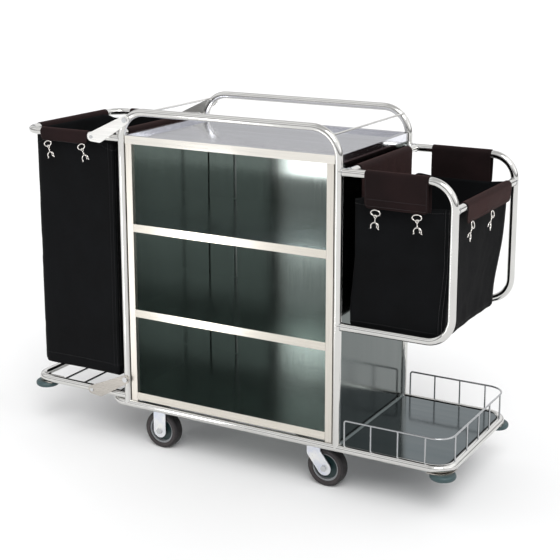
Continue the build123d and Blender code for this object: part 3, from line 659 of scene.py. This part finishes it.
def make_cuff(name, start, end, outward, drops, seed, body, tuck):
    """Canvas folded over a rail, its outer hem hanging free. drops are (inner, outer), and tuck
    draws the hem in towards the bag."""
    inner_drop, outer_drop = drops
    along = (end - start).normalized()
    length = (end - start).length
    columns = max(12, round(length / 0.005)) + 1
    corner = min(0.010, outer_drop * 0.4)
    section = []
    steps_in = max(2, round(inner_drop / 0.008))
    for i in range(steps_in):
        section.append((-1.0, -inner_drop * (1 - i / steps_in), 0.0))
    for i in range(13):
        a = math.pi * (1 - i / 12)
        section.append((math.cos(a), RAIL_FABRIC_R * math.sin(a), 0.0))
    steps_out = max(4, round(outer_drop / 0.006))
    for i in range(1, steps_out + 1):
        section.append((1.0, 0.0, i / steps_out))
    points = []
    for side, height, share in section:
        for c in range(columns):
            d = length * c / (columns - 1)
            edge = min(d, length - d)
            cut = 0.0
            if edge < corner:
                cut = corner - math.sqrt(max(0.0, corner ** 2 - (corner - edge) ** 2))
            drop = (outer_drop - cut) * share
            p = start + along * d + outward * RAIL_FABRIC_R * side
            p += UP * (height - drop)
            wave = wrinkle(Vector((d, share * 0.06, height)), 0.045, seed)
            wave += 0.5 * wrinkle(Vector((d, share * 0.06, height)), 0.016, seed + 3)
            p += outward * (0.0014 * wave * share - tuck * smoothstep(share))
            p += UP * 0.0010 * wave * share
            if side < 0 and height < 0:
                p += outward * 0.0012 * wave
            points.append(p)
    faces = grid_faces(len(section), columns, False)
    piece = make_piece(name, points, faces, [CUFF], body)
    thicken(piece, FABRIC_T, 0, 1)
    for polygon in piece.data.polygons:
        polygon.use_smooth = True
    hem = Build()
    sew_hem(hem, points, columns, len(section), steps_out, outward)
    seams = hem.piece(name + "_stitches", [THREAD, THREAD], body, "cuff_canvas")
    return [piece, seams]


def sew_hem(build, points, columns, rows, steps_out, outward):
    """Stitches along the hem, down both ends, and a second row across longer flaps."""
    def at(row, column):
        return points[row * columns + column]

    def run(cells):
        for a, b in zip(cells, cells[1:]):
            low, high = at(*a), at(*b)
            right = at(a[0], min(a[1] + 1, columns - 1)) - at(a[0], max(a[1] - 1, 0))
            down = at(min(a[0] + 1, rows - 1), a[1]) - at(a[0] - 1, a[1])
            out = down.cross(right).normalized()
            if out.dot(outward) < 0:
                out = -out
            build.stitch((low + high) / 2 + out * FABRIC_T * 0.62, (high - low).normalized(), out)

    hem_row = rows - 2 if steps_out > 6 else rows - 1
    run([(hem_row, c) for c in range(1, columns - 1)])
    if steps_out > 9:
        run([(rows - 5, c) for c in range(1, columns - 1)])
    for column in (1, columns - 2):
        run([(r, column) for r in range(rows - steps_out, rows - 1)])


def make_cuffs(node, body, rails):
    """All cuffs of one bag. rails: (name, start, end, outward, drops, tuck)."""
    made = []
    for index, (name, start, end, outward, drops, tuck) in enumerate(rails):
        made += make_cuff(name, Vector(start), Vector(end), Vector(outward), drops, 11 + index * 4,
                          body, tuck)
    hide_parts(node)
    return made


# ---------------------------------------------------------------- snap hooks

def arc(centre, radius_x, radius_z, start, end, steps):
    """Points on an ellipse in the XZ plane, angles in degrees."""
    points = []
    for i in range(steps + 1):
        a = math.radians(start + (end - start) * i / steps)
        points.append(centre + Vector((radius_x * math.cos(a), 0, radius_z * math.sin(a))))
    return points


def snap_hook(build, place):
    """Swivel snap hook below its placement: D ring, swivel eye, collared barrel, hook and gate."""
    start = len(build.points)
    ring = arc(Vector((0, 0, -0.0095)), 0.0130, 0.0078, 0, 360, 28)[:-1]
    build.tube(ring, HOOK_WIRE_R, closed=True)
    eye = arc(Vector((0, 0, -0.0185)), 0.0040, 0.0040, 0, 360, 16)[:-1]
    build.tube(eye, EYE_WIRE_R, closed=True)
    barrel = [(0.0012, 0.0), (0.0020, -0.0004), (0.0020, -0.0020), (0.0014, -0.0026),
              (0.0014, -0.0080), (0.0020, -0.0086), (0.0020, -0.0104), (0.0013, -0.0110)]
    build.lathe(barrel, Matrix.Translation((0, 0, -0.0222)))
    arch = arc(Vector((0, 0, -0.0450)), 0.0108, 0.0100, -28, 208, 26)
    flare = [Vector((0.0128, 0, -0.0520)), *arch, Vector((-0.0128, 0, -0.0520))]
    build.tube(flare, HOOK_WIRE_R)
    gate_tip = Vector((0.0058, 0, -0.0470))
    gate = [Vector((0.0020, 0, -0.0350)), Vector((0.0052, 0, -0.0400)), gate_tip]
    build.tube(gate, GATE_WIRE_R)
    knob = [(0.0, 0.0022), (0.0013, 0.0016), (0.0016, 0.0), (0.0013, -0.0016), (0.0, -0.0022)]
    build.lathe(knob, Matrix.Translation(gate_tip), sides=12)
    for i in range(start, len(build.points)):
        build.points[i] = place @ build.points[i]


def make_hooks(node, body, spots):
    """spots: (x, y, hem height, turn about z, tilt in its own plane), angles in degrees."""
    build = Build()
    for x, y, z, turn, tilt in spots:
        place = Matrix.Translation((x, y, z))
        place = place @ Matrix.Rotation(math.radians(turn), 4, "Z")
        place = place @ Matrix.Rotation(math.radians(tilt), 4, "Y")
        snap_hook(build, place)
    piece = build.piece(node + "_nickel", [NICKEL], body, "hook_nickel")
    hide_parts(node)
    return piece


# ---------------------------------------------------------------- small steel details

def weld_bead(build, centre, axis, radius, seed):
    """Rippled bead round the end of a tube."""
    axis = axis.normalized()
    side = axis.orthogonal().normalized()
    other = axis.cross(side)
    path = []
    steps = 44
    for i in range(steps):
        a = 2 * math.pi * i / steps
        ripple = 0.00025 * math.sin(i * 2.2 + seed)
        path.append(centre + (side * math.cos(a) + other * math.sin(a)) * (radius + ripple)
                    + axis * ripple)
    build.tube(path, 0.0013, closed=True, sides=6)


def make_welds():
    """Beads where the cross tubes and bag bars meet the side tubes."""
    root, hoop = Build(), Build()
    off = TUBE_R + 0.0004
    for side, y in ((1, FRONT_Y), (-1, BACK_Y)):
        for x, z in ((LEFT_POST, BASE_Z), (RIGHT_POST, BASE_Z), (OUTER_BAR_X, OUTER_BAR_Z),
                     (INNER_BAR_X, D_LOOP_TOP_Z)):
            weld_bead(root, Vector((x, y + side * off, z)), Vector((0, 1, 0)), TUBE_R, x)
        for z in (D_LOOP_TOP_Z, D_LOOP_FOOT_Z):
            weld_bead(root, Vector((RIGHT_POST + off, y, z)), Vector((1, 0, 0)), TUBE_R, z)
        weld_bead(hoop, Vector((HOOP_BAR_X, y + side * off, HOOP_BAR_Z)), Vector((0, 1, 0)), TUBE_R, y)
    root.piece("frame_weld_beads", [WIRE], "root", "polished_tube")
    hoop.piece("hoop_weld_beads", [WIRE], "hoop", "polished_tube")


def make_back_seam():
    """Folded cover strip down the inside of the back sheet, with its rivets."""
    build = Build()
    x0, x1, y = -0.2315, -0.2215, 0.2168
    bays = ((0.181, 0.409), (0.438, 0.666), (0.695, 0.921))
    for z0, z1 in bays:
        ribs = [(x0, 0.0), (x0 + 0.0015, -0.0012), (x1 - 0.0015, -0.0012), (x1, 0.0)]
        rows = [Vector((x, y + dy, z)) for z in (z0, z1) for x, dy in ribs]
        build.add(rows, [(0, 1, 5, 4), (1, 2, 6, 5), (2, 3, 7, 6)])
        for z in (z0 + 0.018, (z0 + z1) / 2, z1 - 0.018):
            place = Matrix.Translation(((x0 + x1) / 2, y - 0.0012, z))
            place = place @ Matrix.Rotation(math.radians(90), 4, "X")
            dome = [(0.0026, 0.0), (0.0024, 0.0007), (0.0015, 0.0012), (0.0004, 0.0014)]
            build.lathe(dome, place, sides=14)
    build.piece("back_seam_strip", [brushed("seam_strip_steel", (0.24, 0.26, 0.25), 2)], "root",
                "brushed_panel")


def make_end_caps():
    """Domed plugs in the open tails of the hoop and of the tray."""
    for name, body, z in (("hoop_tail_plugs", "hoop", HOOP_Z),
                          ("tray_tail_plugs", "tray", TRAY_TAIL_Z)):
        build = Build()
        for y in (FRONT_Y, BACK_Y):
            place = Matrix.Translation((LEFT_POST - TAIL_SETBACK, y, z))
            place = place @ Matrix.Rotation(math.radians(90), 4, "Y")
            build.lathe([(0.0094, 0.0), (0.0094, 0.008), (0.0080, 0.0095), (0.0030, 0.0100)], place)
        build.piece(name, [rubber(name + "_rubber", (0.55, 0.55, 0.54), 0.45)], body,
                    "polished_tube")


# ---------------------------------------------------------------- stage

def make_floor():
    g = Graph("pale_floor", (0.86, 0.86, 0.86), roughness=0.9, Specular_IOR_Level=0.0)
    grain = g.noise(3.0, 3.0)
    material = g.finish(g.blend(grain, (0.855, 0.855, 0.855), (0.865, 0.865, 0.865)))
    half = 60.0
    mesh = bpy.data.meshes.new("floor")
    corners = [(-half, -half, 0), (half, -half, 0), (half, half, 0), (-half, half, 0)]
    mesh.from_pydata(corners, [], [(0, 1, 2, 3)])
    mesh.materials.append(material)
    floor = bpy.data.objects.new("floor", mesh)
    bpy.context.scene.collection.objects.link(floor)


def make_world():
    """Studio surround: bright overhead, greyer towards the horizon, with soft uneven banks."""
    world = bpy.data.worlds.new("studio")
    bpy.context.scene.world = world
    world.use_nodes = True
    nodes, links = world.node_tree.nodes, world.node_tree.links
    background = nodes["Background"]
    place = nodes.new("ShaderNodeTexCoord")
    parts = nodes.new("ShaderNodeSeparateXYZ")
    ramp = nodes.new("ShaderNodeValToRGB")
    links.new(place.outputs["Generated"], parts.inputs[0])
    links.new(parts.outputs[2], ramp.inputs[0])
    stops = ramp.color_ramp.elements
    stops[0].position, stops[0].color = 0.0, (0.27, 0.28, 0.28, 1)
    stops[1].position, stops[1].color = 1.0, (1.0, 1.0, 1.0, 1)
    for position, level in ((0.06, 0.29), (0.16, 0.80), (0.45, 1.0)):
        stop = stops.new(position)
        stop.color = (level, level, level * 1.01, 1)
    banks = nodes.new("ShaderNodeTexNoise")
    banks.inputs["Scale"].default_value = 1.7
    banks.inputs["Detail"].default_value = 0.0
    links.new(place.outputs["Generated"], banks.inputs["Vector"])
    steps = nodes.new("ShaderNodeMapRange")
    links.new(banks.outputs["Fac"], steps.inputs["Value"])
    for key, value in (("From Min", 0.42), ("From Max", 0.56), ("To Min", 0.62), ("To Max", 1.10)):
        steps.inputs[key].default_value = value
    mix = nodes.new("ShaderNodeMix")
    mix.data_type = "RGBA"
    mix.blend_type = "MULTIPLY"
    mix.inputs[0].default_value = 1.0
    links.new(ramp.outputs[0], mix.inputs[6])
    links.new(steps.outputs[0], mix.inputs[7])
    links.new(mix.outputs[2], background.inputs["Color"])
    background.inputs["Strength"].default_value = 1.05


def make_lights():
    for name, energy, angle, aim in (("key", 1.5, 35, (-0.55, 0.75, -1.0)),
                                     ("fill", 0.55, 60, (-0.9, -0.2, -0.7))):
        light = bpy.data.lights.new(name, "SUN")
        light.energy = energy
        light.angle = math.radians(angle)
        lamp = bpy.data.objects.new(name, light)
        lamp.rotation_mode = "QUATERNION"
        lamp.rotation_quaternion = Vector(aim).to_track_quat("-Z", "Y")
        bpy.context.scene.collection.objects.link(lamp)


def make_card():
    """The light card, which shows only in reflections."""
    card = bpy.data.lights.new("card", "AREA")
    card.shape = "RECTANGLE"
    card.size, card.size_y = CARD_SIZE
    card.energy = CARD_ENERGY
    lamp = bpy.data.objects.new("card", card)
    lamp.location = CARD_AT
    lamp.rotation_euler = (math.radians(90), 0, 0)
    lamp.visible_camera = False
    bpy.context.scene.collection.objects.link(lamp)


def make_camera():
    camera = bpy.data.cameras.new("camera")
    camera.lens = CAMERA_LENS
    camera.shift_y = CAMERA_SHIFT_Y
    camera.clip_end = 200
    item = bpy.data.objects.new("camera", camera)
    item.location = CAMERA_AT
    item.rotation_mode = "QUATERNION"
    towards = Vector(CAMERA_TARGET) - Vector(CAMERA_AT)
    item.rotation_quaternion = towards.to_track_quat("-Z", "Y")
    bpy.context.scene.collection.objects.link(item)
    bpy.context.scene.camera = item
    bpy.context.scene.view_settings.view_transform = "Standard"


# ---------------------------------------------------------------- the trolley

def make_left_bag():
    body = "left_bag_body"
    pieces = make_bag("left_bag", body, corners=(0.0334, 0.010), seed=3, corner_dip=0.020,
                      hollow=0.007, lean=straight_bag, rows=84)
    x0, x1 = LEFT_POST - 0.288, LEFT_POST - 0.116
    drops, tuck = (0.010, 0.025), 0.003
    rails = [
        ("left_front_cuff", (x0, FRONT_Y, HOOP_Z), (x1, FRONT_Y, HOOP_Z), (0, -1, 0), drops, tuck),
        ("left_back_cuff", (x0, BACK_Y, HOOP_Z), (x1, BACK_Y, HOOP_Z), (0, 1, 0), drops, tuck),
        ("left_end_cuff", (HOOP_END_X, -CUFF_HALF, HOOP_Z), (HOOP_END_X, CUFF_HALF, HOOP_Z),
         (-1, 0, 0), drops, tuck),
        ("left_inner_cuff", (HOOP_BAR_X, -CUFF_HALF, HOOP_BAR_Z),
         (HOOP_BAR_X, CUFF_HALF, HOOP_BAR_Z), (1, 0, 0), (0.014, 0.014), 0.0),
    ]
    make_cuffs("left_bag_cuffs", body, rails)
    hem = HOOP_Z - 0.0245
    spots = [(x, y, hem, 0, tilt) for x, tilt in ((LEFT_POST - 0.262, -16), (LEFT_POST - 0.139, -22))
             for y in (FRONT_Y - HOOK_OFF_RAIL, BACK_Y + HOOK_OFF_RAIL)]
    spots += [(HOOP_END_X - HOOK_OFF_RAIL, y, hem, 90, tilt)
              for y, tilt in ((-0.070, 10), (0.070, -8))]
    make_hooks("left_bag_hooks", body, spots)
    for piece in pieces:
        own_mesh(piece)


def make_right_bag():
    body = "right_bag_body"
    make_bag("right_bag", body, corners=(0.012, 0.012), seed=8, corner_dip=-0.006, hollow=0.006,
             lean=right_bag_lean, rows=48)
    x0, x1 = RIGHT_POST + 0.078, RIGHT_POST + 0.256
    top, drops = D_LOOP_TOP_Z, (0.085, 0.086)
    rails = [
        ("right_front_flap", (x0, FRONT_Y, top), (x1, FRONT_Y, top), (0, -1, 0), drops, 0.004),
        ("right_back_flap", (x0, BACK_Y, top), (x1, BACK_Y, top), (0, 1, 0), drops, 0.004),
        ("right_inner_cuff", (INNER_BAR_X, -CUFF_HALF, top), (INNER_BAR_X, CUFF_HALF, top),
         (-1, 0, 0), (0.085, 0.014), 0.0),
        ("right_end_flap", (OUTER_BAR_X, -CUFF_HALF, OUTER_BAR_Z),
         (OUTER_BAR_X, CUFF_HALF, OUTER_BAR_Z), (1, 0, 0), (0.012, 0.044), 0.003),
    ]
    make_cuffs("right_bag_flaps", body, rails)
    hem, end_hem = top - 0.0855, OUTER_BAR_Z - 0.0435
    spots = [(x, y, hem, 0, tilt) for x, tilt in ((RIGHT_POST + 0.113, 3), (RIGHT_POST + 0.227, -4))
             for y in (FRONT_Y - HOOK_OFF_RAIL, BACK_Y + HOOK_OFF_RAIL)]
    spots += [(OUTER_BAR_X + HOOK_OFF_RAIL, y, end_hem, 90, tilt)
              for y, tilt in ((-0.125, 40), (0.020, 36))]
    make_hooks("right_bag_hooks", body, spots)


make_camera()
make_world()
make_lights()
make_card()
make_floor()
dress_cad()
make_left_bag()
make_right_bag()
make_welds()
make_back_seam()
make_end_caps()
